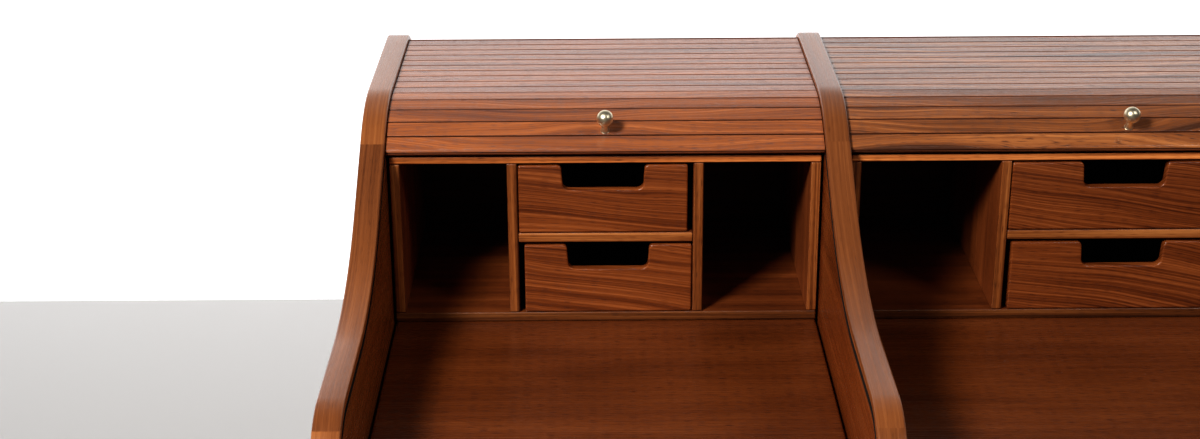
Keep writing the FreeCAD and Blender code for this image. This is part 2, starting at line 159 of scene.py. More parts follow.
class DeskSizes(PropertyGroup):
    """Roundings and small parts."""
    panel_round: metres("Panel rounding", "Radius along the panel's edges", 0.0024)
    board_round: metres("Board rounding", "Radius along a board's edges", 0.0018)
    front_round: metres("Drawer front rounding", "Radius round a drawer front", 0.0018)
    slat_round: metres("Slat rounding", "Radius along a slat's upper edges", 0.0011)
    cutout_mouth: metres("Cut-out mouth", "Width of the finger cut-out at its top", 0.096)
    cutout_floor: metres("Cut-out floor", "Width of the finger cut-out below", 0.092)
    cutout_depth: metres("Cut-out depth", "Depth of the finger cut-out", 0.030)
    cutout_round: metres("Cut-out corner", "Radius of its lower corners", 0.008)
    mouth_round: metres("Cut-out mouth corner", "Radius of its upper corners", 0.0055)
    drawer_wall: metres("Drawer wall", "Thickness of a drawer's walls", 0.008)
    drawer_floor: metres("Drawer floor", "Thickness of a drawer's bottom", 0.005)
    ball: metres("Ball", "Radius of the knob's ball", 0.0095)
    ball_height: metres("Ball height", "Ball's centre above the slat", 0.0205)
    neck: metres("Neck", "Radius of the knob's neck", 0.0041)
    foot: metres("Knob foot", "Radius of the knob's foot", 0.0051)


class DeskFinish(PropertyGroup):
    """Colours and gloss."""
    light: colour("Light walnut", "Lightest wood", (0.44, 0.130, 0.034))
    middle: colour("Middle walnut", "Main wood colour", (0.245, 0.062, 0.0145))
    dark: colour("Dark walnut", "Dark streaks", (0.075, 0.016, 0.0055))
    lipping: colour("Lipping", "Lighter front edges of the insert", (0.32, 0.096, 0.0225))
    brass: colour("Brass", "Knob", (0.90, 0.80, 0.58))
    gloss: share("Roughness", "Roughness of the lacquer", 0.27)
    grain: share("Grain relief", "Depth of the grain's relief", 0.35)


class DeskStage(PropertyGroup):
    """Floor, backdrop, lights and camera."""
    floor: colour("Floor", "Pale floor", (0.61, 0.60, 0.59))
    wall: colour("Backdrop", "White backdrop", (0.93, 0.94, 0.96))
    wall_y: metres("Backdrop distance", "Backdrop behind the desk", 1.84)
    key: scalar("Key light", "Soft light from the front left", 62.0, unit="POWER")
    fill: scalar("Fill light", "Soft light from the front right", 10.0, unit="POWER")
    glow: share("Backdrop light", "Brightness of the lit backdrop", 1.0)
    ambient: share("Ambient", "Strength of the even light", 0.035)
    lens: scalar("Lens", "Focal length", 57.14, unit="CAMERA")
    eye: FloatVectorProperty(name="Eye", description="Camera's place", size=3,
                             default=(-0.3432, -1.9745, 1.6920), subtype="TRANSLATION")
    pitch: degrees("Pitch", "Camera below level", 21.58)
    yaw: degrees("Yaw", "Camera turned right", 0.079)
    roll: degrees("Roll", "Camera leaned", -0.332)


def settings():
    return bpy.context.scene.desk_track, bpy.context.scene.desk_sizes


# Meshes
def new_object(name, data):
    """An object in the scene, at the origin and unturned."""
    thing = bpy.data.objects.new(name, data)
    bpy.context.scene.collection.objects.link(thing)
    return thing


def make_piece(node, shape, materials, body, stuff="wood"):
    """A smooth mesh with its grain map, riding on a body and standing for a node.

    The shape is (points, faces, grain, kinds).  grain holds an (along, across) pair in
    metres for each point, and a second pair where the faces whose kind isn't 0 are
    mapped in another way.  kinds holds each face's number in the list of materials,
    or a function that works it out from the faces' normals.
    """
    points, faces, grain, kinds = shape
    name = f"{node}_{stuff}"
    faces = [[int(i) for i in face] for face in faces]
    mesh = bpy.data.meshes.new(name)
    mesh.from_pydata(points.tolist(), [], faces)
    if callable(kinds):
        kinds = kinds(np.array([polygon.normal for polygon in mesh.polygons]))
    pairs = np.asarray(grain, np.float32)[np.concatenate(faces)]
    other = np.repeat(kinds, [len(face) for face in faces]) > 0
    pairs = np.where(other[:, None], pairs[:, -2:], pairs[:, :2])
    mesh.uv_layers.new(name="grain").data.foreach_set("uv", pairs.ravel())
    mesh.shade_smooth()
    mesh.set_sharp_from_angle(angle=SHARP)
    for material in materials:
        mesh.materials.append(material)
    mesh.polygons.foreach_set("material_index", np.asarray(kinds, np.int32))
    mesh.update()
    piece = new_object(name, mesh)
    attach(piece, body)
    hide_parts(node)


def grid_faces(rows, columns, closed_rows=False, closed_columns=False, flip=False):
    """Quads of a grid of rows x columns points, wrapped round where it is closed;
    their normals point along the rows' direction crossed with the columns'."""
    row = np.arange(rows if closed_rows else rows - 1)[:, None]
    here, below = row * columns, (row + 1) % rows * columns
    left = np.arange(columns if closed_columns else columns - 1)
    right = (left + 1) % columns
    quads = stacked(here + left, here + right, below + right, below + left).reshape(-1, 4)
    return quads if flip else quads[:, ::-1]


def joined(parts):
    """Several shapes (points, faces, grain, kinds) made one, their faces renumbered."""
    points, faces, grain, kinds = zip(*parts)
    starts = np.cumsum([0] + [len(some) for some in points])
    faces = [np.asarray(face) + start for some, start in zip(faces, starts)
             for face in some]
    return np.concatenate(points), faces, np.concatenate(grain), np.concatenate(kinds)


def welded(points):
    """Points with the repeated ones left out, and each old point's new number."""
    _, first, index = np.unique(np.round(points, 7), axis=0, return_index=True,
                                return_inverse=True)
    return points[first], index.reshape(-1)


def some_grain(rng):
    """A random place on the grain map."""
    return rng.uniform(0, GRAIN_SPAN, 2)


def rounded_box(low, high, radius, grain_axis, shift):
    """A box with rounded edges: every point of a cube's grid is pulled in to the
    inner box and pushed out again by the radius.

    The grid's lines sit at tangents of even angles, so that the rounding is even,
    with one more line just inside each flat, which keeps the flats' shading flat.
    """
    low, high = np.asarray(low) + SHRINK, np.asarray(high) - SHRINK
    radius = min(radius, (high - low).min() * 0.49)
    inside = min(radius, 0.25 * (high - low - 2 * radius).min())
    steps = np.append(-radius * np.tan(np.radians([45.0, 22.5, 0.0])), inside)
    points, faces, start = [], [], 0
    for axis in range(3):
        u, v = (axis + 1) % 3, (axis + 2) % 3
        lines = [np.append(low[k] + radius + steps, high[k] - radius - steps[::-1])
                 for k in (u, v)]
        a, b = np.meshgrid(*lines, indexing="ij")
        for side, sign in ((low, -1), (high, 1)):
            cube = np.zeros(a.shape + (3,))
            cube[..., u], cube[..., v], cube[..., axis] = a, b, side[axis]
            core = np.clip(cube, low + radius, high - radius)
            points.append((core + normed(cube - core) * radius).reshape(-1, 3))
            faces.append(grid_faces(*a.shape, flip=sign < 0) + start)
            start += a.size
    points, index = welded(np.concatenate(points))
    faces = index[np.concatenate(faces)]
    across = np.delete(points, grain_axis, axis=1).sum(axis=1)
    grain = stacked(points[:, grain_axis], across) + shift
    return points, faces, grain, [0] * len(faces)


def stacked(*parts):
    """Arrays set side by side along a new last axis."""
    return np.stack(parts, axis=-1)


def normed(vectors):
    return vectors / np.linalg.norm(vectors, axis=-1, keepdims=True)


def lengths(line):
    """How far along a line of points each of them is."""
    return np.append(0, np.cumsum(np.linalg.norm(np.diff(line, axis=0), axis=1)))


def outward(outline):
    """Mitred outward normals of a closed outline that runs anticlockwise."""
    step = normed(np.roll(outline, -1, axis=0) - outline)
    after = stacked(step[:, 1], -step[:, 0])
    before = np.roll(after, 1, axis=0)
    middle = before + after
    return middle / (middle * before).sum(axis=1, keepdims=True)


def round_corners(points, radii, steps):
    """A closed polygon whose corners are replaced by arcs tangent to both sides."""
    points = np.asarray(points, float)
    out = []
    for k, radius in enumerate(radii):
        before, here, after = points[k - 1], points[k], points[(k + 1) % len(points)]
        if not radius:
            out.append(here[None])
            continue
        a, b = normed(before - here), normed(after - here)
        half = math.acos(np.clip(a @ b, -1, 1)) / 2
        centre = here + normed(a + b) * radius / math.sin(half)
        first = here + a * radius / math.tan(half) - centre
        last = here + b * radius / math.tan(half) - centre
        start, end = math.atan2(*first[::-1]), math.atan2(*last[::-1])
        end = start + (end - start + math.pi) % (2 * math.pi) - math.pi
        out.append(centre + radius * unit(np.linspace(start, end, steps + 1)))
    return np.concatenate(out)


def unit(angle):
    """Unit vectors at an angle or an array of angles, last axis (Y, Z)."""
    return stacked(np.cos(angle), np.sin(angle))


# The curtain's track
def track_runs(inset):
    """The panel's edge moved inwards, as (start, heading, length, radius) runs.

    The edge starts straight up at the nose and each turn follows the last: a run's
    radius is positive where it turns up, negative where it turns down, 0 if straight.
    """
    t, _ = settings()
    shoulder = t.on_shoulder * t.pitch / t.angle + t.groove
    corner = t.on_corner * t.pitch / QUARTER + t.groove
    plan = ((t.nose, -QUARTER), (None, t.arm), (t.sweep, t.angle), (None, t.slope),
            (shoulder, -t.angle), (None, t.on_top * t.pitch), (corner, -QUARTER))
    rise = t.slope * math.sin(t.angle) + (t.sweep + shoulder) * (1 - math.cos(t.angle))
    point = np.array([PANEL_LOW[1] + inset, PANEL_HIGH[2] - rise - t.nose])
    heading, runs = QUARTER, []
    for radius, turn in plan:
        if radius is None:
            runs.append((point, heading, turn, 0.0))
            point = point + turn * unit(heading)
            continue
        signed = math.copysign(radius, turn) + inset
        runs.append((point, heading, abs(turn * signed), signed))
        centre = point + signed * unit(heading + QUARTER)
        heading += turn
        point = centre - signed * unit(heading + QUARTER)
    return runs


def along_run(run, distance):
    """Points at the given distances along a run: on its line or round its circle."""
    start, heading, _, radius = run
    distance = np.asarray(distance, float)[..., None]
    if radius == 0:
        return start + distance * unit(heading)
    turned = heading + distance[..., 0] / radius
    centre = start + radius * unit(heading + QUARTER)
    return centre - radius * unit(turned + QUARTER)


def curtain_point(distance):
    """Point of the groove's centre line at a distance behind the shoulder's foot."""
    runs = track_runs(settings()[0].groove)
    if distance < 0:
        return along_run(runs[3], runs[3][2] + distance)
    for run in runs[4:]:
        if distance <= run[2]:
            return along_run(run, distance)
        distance -= run[2]
    return along_run(runs[-1], runs[-1][2]) - np.array([0.0, distance])


def slat_pose(distance):
    """Middle, slope and outward normal of a slat, whose slope is the chord between
    its tongues' two ends."""
    low, high = (curtain_point(distance + way * TONGUE_HALF) for way in (-1, 1))
    along = normed(high - low)
    return (low + high) / 2, along, np.array([-along[1], along[0]])


def slat_place(number):
    """Distance of a slat's middle behind the shoulder's foot."""
    t, _ = settings()
    return (number - 0.5) * t.pitch - t.lead_start


# Shader nodes
def feed(tree, node, inputs):
    """Set a node's inputs, by name or number: sockets are linked, values put in."""
    for key, value in inputs.items():
        if isinstance(value, NodeSocket):
            tree.links.new(value, node.inputs[key])
        else:
            node.inputs[key].default_value = value


def add(tree, kind, inputs=None, **properties):
    """A node with its properties and its inputs set."""
    node = tree.nodes.new("ShaderNode" + kind)
    for name, value in properties.items():
        setattr(node, name, value)
    feed(tree, node, inputs or {})
    return node


def calc(tree, operation, *values):
    return add(tree, "Math", dict(enumerate(values)), operation=operation).outputs[0]


def times(tree, a, b):
    return calc(tree, "MULTIPLY", a, b)


def centred(tree, value):
    return calc(tree, "SUBTRACT", value, 0.5)


def vector_calc(tree, operation, *values):
    return add(tree, "VectorMath", dict(enumerate(values)), operation=operation).outputs[0]


def merged(tree, x, y):
    return add(tree, "CombineXYZ", {"X": x, "Y": y}).outputs[0]


def split(tree, vector):
    return add(tree, "SeparateXYZ", {0: vector}).outputs


def own_place(tree):
    """The place on the object, in its own coordinates."""
    return add(tree, "TexCoord").outputs["Object"]


def noise(tree, vector, along, across, detail=2.0, roughness=0.5, distortion=0.0):
    """Noise with a number of waves per metre along X, and another across it."""
    vector = vector_calc(tree, "MULTIPLY", vector, (along, across, across))
    inputs = dict(Vector=vector, Scale=1.0, Detail=detail, Roughness=roughness,
                  Distortion=distortion)
    return add(tree, "TexNoise", inputs).outputs["Fac"]


def spread(tree, *values):
    """A value's range, low to high, mapped to 0 to 1 or the next range, and clamped."""
    return add(tree, "MapRange", dict(enumerate(values))).outputs["Result"]


def darkened(tree, amount, tint, factor):
    """A tint where the amount is 0, and the tint times a factor where it is 1."""
    inputs = {0: amount, 6: (*tint, 1.0), 7: (*(c * factor for c in tint), 1.0)}
    return add(tree, "Mix", inputs, data_type="RGBA").outputs[2]


def bump(tree, height, distance, strength):
    inputs = dict(Height=height, Distance=distance, Strength=strength)
    return add(tree, "Bump", inputs).outputs[0]


GRAIN_INPUTS = dict(Vector=(0, 0, 0), Figure=1.0, Bands=1.0, Pores=1.0, Rings=1.0)


def grain_group(name, **more):
    """An empty group with the grain's sockets: the group, its inputs and its sink."""
    group = bpy.data.node_groups.new(name, "ShaderNodeTree")
    for label, value in {**GRAIN_INPUTS, **more}.items():
        kind = "NodeSocketVector" if label == "Vector" else "NodeSocketFloat"
        socket = group.interface.new_socket(name=label, in_out="INPUT", socket_type=kind)
        socket.default_value = value
    for label in ("Tone", "Relief", "Dull"):
        group.interface.new_socket(name=label, in_out="OUTPUT",
                                   socket_type="NodeSocketFloat")
    source, sink = (group.nodes.new("NodeGroup" + end) for end in ("Input", "Output"))
    return group, source.outputs, sink


@cache
def walnut_group():
    """Grain of walnut along X: broad bands bent by a slow drift, rings, fine fibres
    and short dark pores.  Tone is 0 in the darkest streak and 1 in the lightest."""
    tree, source, sink = grain_group("Walnut grain")
    vector = source["Vector"]
    drift = centred(tree, noise(tree, vector, 3.1, 9.0, 1.5))
    drift = times(tree, drift, source["Figure"])
    shift = merged(tree, 0.0, times(tree, drift, 0.035))
    bent = vector_calc(tree, "ADD", vector, shift)
    bands = spread(tree, noise(tree, bent, 1.3, 62.0, 2.0, 0.55, 0.25), 0.28, 0.72)
    rings = spread(tree, noise(tree, bent, 2.6, 330.0, 2.5, 0.6), 0.25, 0.75)
    fibres = noise(tree, bent, 14.0, 1700.0, 1.0)
    clouds = noise(tree, vector, 4.0, 11.0)
    pores = spread(tree, noise(tree, bent, 70.0, 2100.0, 0.0), 0.60, 0.74)
    pores = times(tree, pores, source["Pores"])
    banded = times(tree, centred(tree, bands), source["Bands"])
    ringed = times(tree, centred(tree, rings), source["Rings"])
    tone = 0.5
    for part, weight in ((banded, 0.62), (ringed, 0.34), (centred(tree, clouds), 0.55),
                         (centred(tree, fibres), 0.22), (pores, -0.34)):
        tone = calc(tree, "MULTIPLY_ADD", part, weight, tone)
    relief = calc(tree, "MULTIPLY_ADD", fibres, 0.4, times(tree, pores, -0.8))
    dull = calc(tree, "MULTIPLY_ADD", rings, 0.5, times(tree, pores, 0.5))
    feed(tree, sink, dict(Tone=tone, Relief=relief, Dull=dull))
    return tree


@cache
def boards_group():
    """Walnut boards glued edge to edge, one above the other: each has its own stretch
    of grain, and every second one is lighter.  Where Legs is 1 the grain is turned
    upright near the front and the back, below the lowest glued seam."""
    tree, source, sink = grain_group("Glued walnut boards", Legs=0.0, Contrast=1.0)
    place = split(tree, own_place(tree))
    level = calc(tree, "MULTIPLY_ADD", place["Z"], 1 / STAVE, -STAVE_START / STAVE)
    number = calc(tree, "FLOOR", calc(tree, "MAXIMUM", level, -0.5))
    low = calc(tree, "LESS_THAN", place["Z"], STAVE_START - STAVE)
    far = calc(tree, "ABSOLUTE", place["Y"])
    far = calc(tree, "GREATER_THAN", far, PANEL_HIGH[1] - LEG)
    leg = times(tree, times(tree, low, far), source["Legs"])
    parts = split(tree, source["Vector"])
    turned = merged(tree, parts["Y"], parts["X"])
    vector = add(tree, "Mix", {0: leg, 4: source["Vector"], 5: turned},
                 data_type="VECTOR").outputs[1]
    shift = merged(tree, *(times(tree, number, step) for step in BOARD_GRAIN))
    inputs = {name: source[name] for name in GRAIN_INPUTS}
    inputs["Vector"] = vector_calc(tree, "ADD", vector, shift)
    grain = add(tree, "Group", inputs, node_tree=walnut_group()).outputs
    odd = centred(tree, calc(tree, "PINGPONG", number, 1.0))
    odd = times(tree, odd, source["Contrast"])
    feed(tree, sink, dict(Tone=calc(tree, "ADD", grain["Tone"], odd),
                          Relief=grain["Relief"], Dull=grain["Dull"]))
    return tree


# Materials
def principled(name):
    """A new material with its Principled shader: (material, tree, shader)."""
    material = bpy.data.materials.new(name)
    material.use_nodes = True
    tree = material.node_tree
    return material, tree, tree.nodes["Principled BSDF"]


def wood(name, light=None, middle=None, dark=None, figure=1.0, bands=1.0, pores=1.0,
         shade=1.0, rough=None, turn=None, relief=1.0, rings=1.0, fine=1.0, glued=None):
    """Lacquered walnut.  Grain runs along the grain map, or along X of the object's
    own coordinates turned by the given angle on a solid that has no map.  Fine
    packs the grain's lines closer together; glued holds the values of Legs and
    Contrast for wood glued up from boards."""
    finish = bpy.context.scene.desk_finish
    material, tree, shader = principled(name)
    if turn is None:
        vector = add(tree, "UVMap", uv_map="grain").outputs["UV"]
    else:
        inputs = {"Vector": own_place(tree), "Rotation": (0, 0, turn)}
        vector = add(tree, "Mapping", inputs).outputs[0]
    if fine != 1.0:
        vector = vector_calc(tree, "MULTIPLY", vector, (1.0, fine, fine))
    inputs = dict(Vector=vector, Figure=figure, Bands=bands, Pores=pores, Rings=rings)
    if glued:
        inputs["Legs"], inputs["Contrast"] = glued
    group = add(tree, "Group", inputs,
                node_tree=boards_group() if glued else walnut_group()).outputs
    ramp = add(tree, "ValToRGB", {"Fac": group["Tone"]})
    stops = ((0.05, dark or finish.dark), (0.52, middle or finish.middle),
             (0.98, light or finish.light))
    ramp.color_ramp.elements.new(0.5)
    for element, (place, tint) in zip(ramp.color_ramp.elements, stops):
        element.position = place
        element.color = (*(c * shade for c in tint), 1.0)
    base = finish.gloss if rough is None else rough
    feed(tree, shader, {
        "Base Color": ramp.outputs["Color"],
        "Roughness": spread(tree, group["Dull"], 0.0, 1.0, base - 0.04, base + 0.10),
        "Normal": bump(tree, group["Relief"], 0.00025, finish.grain * relief),
        "Specular IOR Level": 0.5, "Coat Weight": 0.12, "Coat Roughness": 0.22})
    return material


def brass(tint):
    """Polished brass with a faint mottled patina."""
    material, tree, shader = principled("aged_brass")
    mottle = noise(tree, own_place(tree), 260.0, 260.0, 3.0, 0.6)
    feed(tree, shader, {
        "Base Color": darkened(tree, spread(tree, mottle, 0.4, 0.7), tint, 0.78),
        "Roughness": spread(tree, mottle, 0.3, 0.8, 0.34, 0.44), "Metallic": 1.0})
    return material


def glide_plastic():
    """Matt plastic with a fine speckle."""
    material, tree, shader = principled("glide_plastic")
    grit = spread(tree, noise(tree, own_place(tree), 900.0, 900.0), 0.3, 0.7)
    feed(tree, shader, {
        "Base Color": darkened(tree, grit, (0.03, 0.028, 0.026), 0.8), "Roughness": 0.6,
        "Normal": bump(tree, grit, 0.0002, 0.3)})
    return material


def backdrop_material(tint, glow):
    """White lit evenly from the front and fading above, so that only level wood
    mirrors it; clear from behind, so no view is blocked."""
    material, tree, shader = principled("backdrop")
    height = split(tree, own_place(tree))["Z"]
    feed(tree, shader, {
        "Base Color": (*tint, 1.0), "Roughness": 0.9, "Emission Color": (*tint, 1.0),
        "Emission Strength": spread(tree, height, *FADE, glow, 0.0)})
    sides, clear = add(tree, "NewGeometry"), add(tree, "BsdfTransparent")
    mix = add(tree, "MixShader", {0: sides.outputs["Backfacing"], 1: shader.outputs[0],
                                  2: clear.outputs[0]})
    feed(tree, tree.nodes["Material Output"], {"Surface": mix.outputs[0]})
    return material


@cache
def finishes():
    """Every material of the desk, made once."""
    f = bpy.context.scene.desk_finish
    edge = dict(light=(0.48, 0.172, 0.050), middle=(0.272, 0.088, 0.026),
                dark=(0.090, 0.026, 0.009), figure=0.5, bands=0.3, pores=0.5, relief=0.5)
    lipping = dict(light=(0.62, 0.235, 0.066), middle=f.lipping,
                   dark=(0.085, 0.022, 0.005), figure=0.15, rough=0.36, rings=2.4)
    face, board = dict(figure=0.7, bands=0.45), dict(figure=0.4, bands=0.6, rough=0.4)
    woods = {
        "panel_edge": dict(edge, glued=(0.0, 0.05)),
        "panel_edge_left": dict(edge, glued=(0.0, 0.19)),
        "panel_face": dict(face, middle=(0.25, 0.056, 0.011), glued=(1.0, 0.05)),
        "panel_face_left": dict(face, middle=(0.33, 0.092, 0.018), glued=(1.0, 0.12)),
        # The groove's inside is near black: painted shade in a slot that little light reaches.
        "groove": dict(bands=0.4, shade=0.02, rough=0.8),
        # The strip between the groove and the rounded edge is lighter: a painted highlight
        # along the groove's lip.
        "groove_rim_painted_highlight": dict(middle=f.light, bands=0.4, rough=0.4),
        "slat_left": dict(
            light=(0.66, 0.225, 0.080), middle=(0.40, 0.125, 0.043),
            dark=(0.15, 0.060, 0.043), figure=1.8, bands=0.95, pores=1.4, rings=1.3),
        "slat_right": dict(
            light=(0.66, 0.25, 0.080), middle=(0.34, 0.112, 0.036),
            dark=(0.10, 0.038, 0.020), figure=2.4, bands=1.3, pores=1.4, rings=1.6),
        # Painted shade on the slats' lower roundings, sides, ends and tongues and in the lead
        # rail's channel, which darkens the joints between slats.
        "slat_painted_shade": dict(bands=0.4, shade=0.6, rough=0.5),
        "drawer_front": dict(figure=1.6, bands=0.6, rings=2.7, shade=1.04, fine=1.3),
        "surface": dict(figure=0.6, bands=0.3, pores=1.6, shade=0.69, rings=0.5, fine=1.4),
        # Level boards are painted darker and upright boards lighter: painted shade and painted
        # light for how the light falls into the pigeonholes.
        "board": dict(board, shade=0.75),
        # The roundings beside the insert boards' fronts are darker: painted shade, which draws
        # dark lines where boards meet.
        "joint": dict(figure=0.2, bands=0.5, rough=0.45, shade=0.42),
        "upright": dict(board, shade=1.1),
        "lipping": dict(lipping, bands=1.5),
        # The top board's lipping is painted lighter: painted light that makes up for the lead
        # rail's shadow on it.
        "lipping_top_painted_light": dict(lipping, bands=1.1, shade=2.1),
        # The bottom board's lipping is painted darker: painted shade.
        "lipping_low_painted_shade": dict(lipping, bands=1.5, shade=0.55),
        # The inserts' backs are painted dark: painted shade at the back of the pigeonholes.
        "back": dict(shade=0.25, rough=0.6),
        "apron": dict(figure=0.7, bands=0.8),
        "plain_level": dict(turn=0.0, bands=0.6, rough=0.45),
        "plain_deep": dict(turn=QUARTER, bands=0.6, rough=0.5)}
    materials = {name: wood("walnut_" + name, **look) for name, look in woods.items()}
    box = wood("drawer_box_wood", shade=0.55, rough=0.5, bands=0.5)
    return {**materials, "drawer_box": box, "brass": brass(f.brass),
            "glide": glide_plastic()}


# Pieces
def panel_outline():
    """The side panel's outline, anticlockwise in (Y, Z): foot, legs, arch and the
    curved edge.  Returns the points, and where the groove runs along them."""
    front, foot, rear = PANEL_LOW[1], PANEL_LOW[2], PANEL_HIGH[1]
    legs = round_corners(
        [(front + FRONT_FOOT, foot), (front + LEG, ARCH_TOP), (rear - LEG, ARCH_TOP),
         (rear - REAR_FOOT, foot)], [0.0, ARCH_ROUND, ARCH_ROUND, 0.0], steps=14)
    runs = track_runs(0.0)
    edge = []
    for run in runs:
        steps = max(2, int(run[2] / ARC_STEP)) if run[3] else max(1, int(run[2] / LINE_STEP))
        edge.append(along_run(run, np.linspace(0, run[2], steps + 1)[:-1]))
    edge.append(along_run(runs[-1], runs[-1][2])[None])
    edge = np.concatenate(edge)
    rise = [(front, foot), (front, GROOVE_FRONT - GROOVE_END), (front, GROOVE_FRONT)]
    fall = [(rear, GROOVE_REAR), (rear, GROOVE_REAR - GROOVE_END), (rear, foot)]
    loop = np.concatenate([rise, edge, fall, legs[::-1]])
    grooved = np.zeros(len(loop), bool)
    grooved[2:len(edge) + 4] = True
    return loop[::-1], grooved[::-1]


EDGE, FACE, GROOVE, RIM = range(4)  # kinds of a plate's faces


def plate(outline, thickness, radius, start, axis, groove=None, sides=(False, False)):
    """A flat board of any outline with rounded edges: the edge's profile, a list of
    (depth from the outline, height) pairs, is carried round the whole outline, and
    one flat face closes each side.

    groove is (mask along the outline, centre depth, width, depth), cut into the
    sides that are marked.  Returns points, faces, the grain maps (the edge's follows
    the outline, the faces' follows Y) and the kind of each face.
    """
    def side(far, cut):
        line = []
        if cut:
            _, centre, width, deep = groove
            near, away = centre - width / 2, centre + width / 2
            line += [(away, 0, 0, GROOVE), (away, 0, deep, GROOVE),
                     (near, 0, deep, GROOVE), (near, 0, 0, RIM)]
        line.append((radius + PLATE_FLAT, 0, 0, FACE))
        line += [(radius - radius * math.sin(a), radius - radius * math.cos(a), 0, EDGE)
                 for a in ROUNDING]
        if far:
            kinds = [k for _, _, _, k in line]
            line = [(d, thickness - h, -g, k)
                    for (d, h, g, _), k in zip(line, [kinds[0]] + kinds[:-1])][::-1]
        return line

    profile = side(False, sides[0]) + side(True, sides[1])
    depth, height, cut, kind = (np.array(c) for c in zip(*profile))
    mask = np.zeros(len(outline)) if groove is None else groove[0].astype(float)
    flat = outline[:, None, :] - outward(outline)[:, None, :] * depth[None, :, None]
    level = height[None, :] + cut[None, :] * mask[:, None]
    rows, columns = level.shape
    points = np.empty((rows, columns, 3))
    points[..., (axis + 1) % 3], points[..., (axis + 2) % 3] = flat[..., 0], flat[..., 1]
    points[..., axis] = start + level
    grain = stacked(np.broadcast_to(lengths(outline)[:, None], level.shape),
                    level + EDGE_GRAIN, flat[..., 0], flat[..., 1])
    faces = [*grid_faces(rows, columns, closed_rows=True),
             range((rows - 1) * columns, -1, -columns),
             range(columns - 1, rows * columns, columns)]
    flush = (mask * np.roll(mask, -1) == 0)[:, None] & (kind[:-1] >= GROOVE)
    kinds = list(np.where(flush, FACE, kind[:-1]).ravel()) + [FACE, FACE]
    points, index = welded(points.reshape(-1, 3))
    kept = [(tuple(dict.fromkeys(index[list(face)])), k) for face, k in zip(faces, kinds)]
    faces, kinds = zip(*(pair for pair in kept if len(pair[0]) > 2))
    order = np.zeros(len(points), int)
    order[index] = np.arange(len(index))
    return points, faces, grain.reshape(-1, 4)[order], kinds


def side_panels(materials):
    """Three S-shaped panels, grooved on the faces that hold a curtain."""
    t, sizes = settings()
    outline, grooved = panel_outline()
    groove = (grooved, t.groove, t.groove_width, t.groove_depth)
    for number, place in enumerate(("left", "middle", "right")):
        name = place + "_side_panel"
        low, high = corners(name)
        points, faces, grain, kinds = plate(
            outline, high[0] - low[0], sizes.panel_round, low[0], 0, groove,
            (place != "left", place != "right"))
        grain = grain + np.tile(number * PANEL_GRAIN, 2)
        tail = "" if number else "_left"
        # The groove's faces take near-black painted shade.
        looks = "panel_edge" + tail, "panel_face" + tail, "groove", "groove_rim_painted_highlight"
        make_piece(name, (points, faces, grain, kinds), [materials[k] for k in looks],
                   "case")


def slat_mesh(bay, distance, width, nose, shift):
    """One slat: its cross-section carried across the bay, closed by flat ends.

    The section is flat above with rounded edges, undercut at the sides, or with a
    half-round nose below on the lead rail, where a small channel sets off a bead.
    """
    t, sizes = settings()
    half, top, r = (width - t.gap) / 2, t.slat / 2, sizes.slat_round
    rear = stacked(half - r + r * np.sin(ROUNDING), top - r + r * np.cos(ROUNDING))
    flat = np.array([[half - r - SLAT_FLAT, top]])
    under = [[half - UNDERCUT, -top]]
    if nose:
        sunk = (NOSE_TURNS > CHANNEL[0]) & (NOSE_TURNS < CHANNEL[1])
        reach = top - CHANNEL_DEPTH * sunk
        turn = np.radians(NOSE_TURNS)
        front = stacked(top - half - reach * np.sin(turn), reach * np.cos(turn))
        section = np.concatenate([front, flat, rear, under])
    else:
        section = np.concatenate([[[UNDERCUT - half, -top]], rear[::-1] * [-1, 1],
                                  flat * [-1, 1], flat, rear, under])
    middle, along, out = slat_pose(distance)
    low, high = corners(bay + "_writing_surface")
    ends = low[0] - SLAT_PAST, high[0] + SLAT_PAST
    size = len(section)
    points = np.empty((2, size, 3))
    points[..., 0] = np.array(ends)[:, None]
    points[..., 1:] = middle + section[:, :1] * along + section[:, 1:] * out
    faces = [*grid_faces(2, size, closed_columns=True), range(size),
             range(2 * size - 1, size - 1, -1)]
    grain = stacked(points[..., 0], np.broadcast_to(lengths(section), (2, size)))
    # Faces below this share of the rounding, and those in the channel, take painted shade.
    shown = np.minimum(section[:, 1], np.roll(section[:, 1], -1)) > top - SHOWN_DROP * r
    if nose:
        shown[:len(front)] = ~(sunk | np.roll(sunk, -1))
    kinds = list(np.where(shown, 0, 1)) + [1, 1]
    body = (points.reshape(-1, 3), faces, grain.reshape(-1, 2) + shift, kinds)
    return [body] + slat_tongues(ends, middle, along, out, shift)


def slat_tongues(ends, middle, along, out, shift):
    """The two tongues, small boxes turned to the slat's slope."""
    parts = []
    for near, far in ((ends[0] - TONGUE_OUT, ends[0]), (ends[1], ends[1] + TONGUE_OUT)):
        box = np.array([[x, s, w] for x in (near, far) for s in (-TONGUE_HALF, TONGUE_HALF)
                        for w in (-TONGUE_THICK, TONGUE_THICK)])
        points = np.column_stack([box[:, 0], middle + box[:, 1:2] * along
                                  + box[:, 2:] * out])
        faces = [(0, 2, 3, 1), (4, 5, 7, 6), (0, 1, 5, 4), (2, 6, 7, 3), (0, 4, 6, 2),
                 (1, 3, 7, 5)]
        parts.append((points, faces, points[:, :2] + shift, [1] * 6))
    return parts


def curtain_groups():
    """Slat numbers of each group that moves as one, slat 1 next to the lead rail."""
    t, _ = settings()
    counts = {"pull_slat": 1, "shoulder_slats": t.on_shoulder - 1,
              "crest_slat": 1, "top_slats": t.on_top - 1,
              "corner_slat_upper": 1, "corner_slats": t.on_corner - 1,
              "corner_slat_lower": 1, "stored_slats": t.stored - 1}
    firsts = np.cumsum([1, *counts.values()])
    return {name: range(*firsts[k:k + 2]) for k, name in enumerate(counts)}


